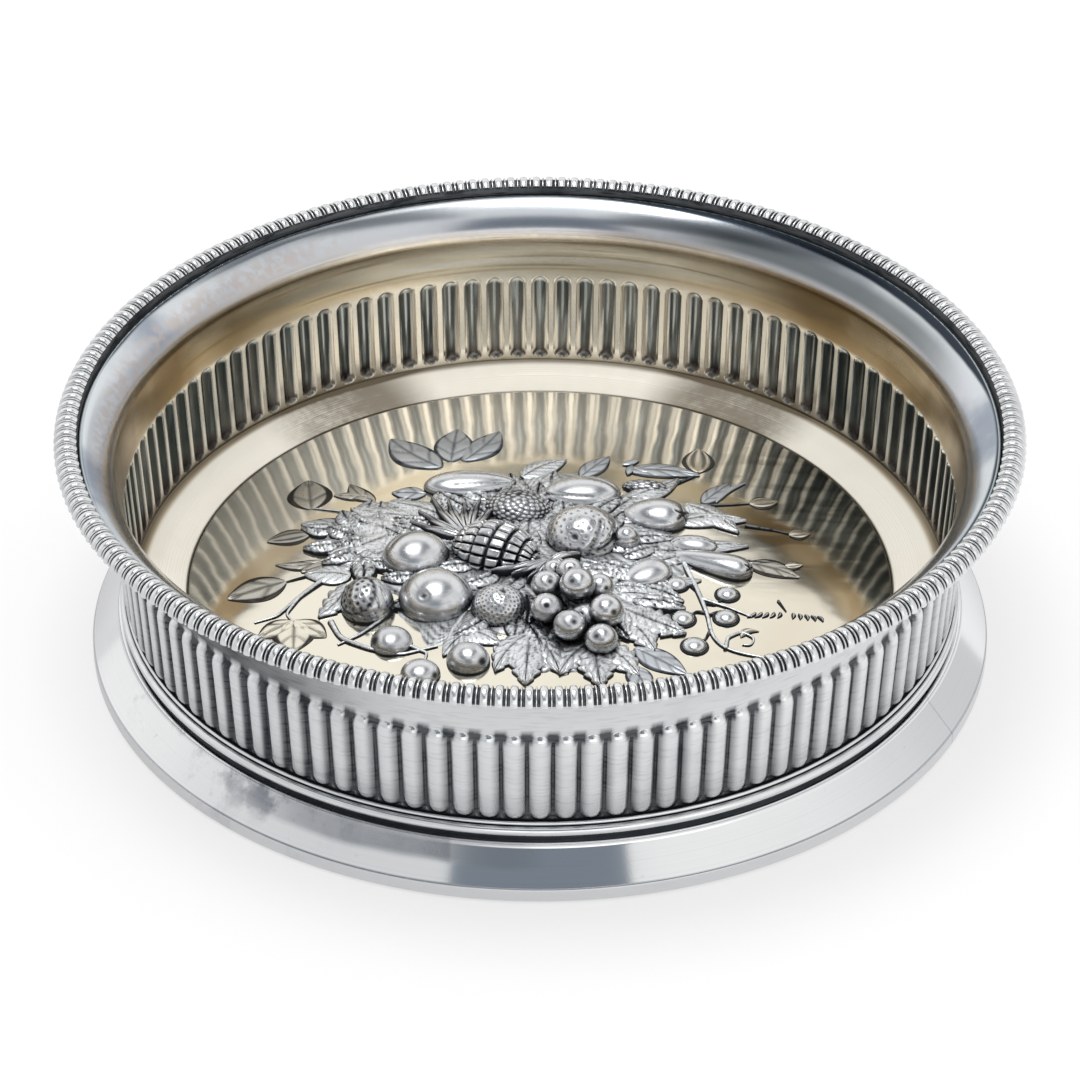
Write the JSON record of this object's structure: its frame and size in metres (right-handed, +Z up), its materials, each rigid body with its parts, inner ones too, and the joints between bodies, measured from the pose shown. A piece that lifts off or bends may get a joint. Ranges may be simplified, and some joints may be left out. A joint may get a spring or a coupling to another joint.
{
  "type": "wine bottle coaster",
  "caption": "Round silver bottle coaster with a fluted, flared gallery, a bead-and-reel rim, a spreading foot and a gilt floor embossed with fruit and leaves over a wooden base.",
  "frame": {"origin": "on the axis of the coaster, at the underside of the baize, where it rests on the table", "axes": "+Z up along the axis, out of the well; -Y towards the front of the picture"},
  "size_m": [0.15, 0.15, 0.0406],
  "materials": {
    "silver": "polished silver, dark in the hollows",
    "gilt": "pale gilding, polished, over embossed silver",
    "hardwood": "turned and waxed",
    "baize": "napped wool"
  },
  "bodies": {
    "root": {"rim_border": "silver", "gallery_wall": "silver", "base_moulding": "silver", "foot_skirt": "silver", "foot_wire": "silver", "floor_plate": "gilt", "wood_base": "hardwood", "baize_pad": "baize"}
  },
  "joints": []
}
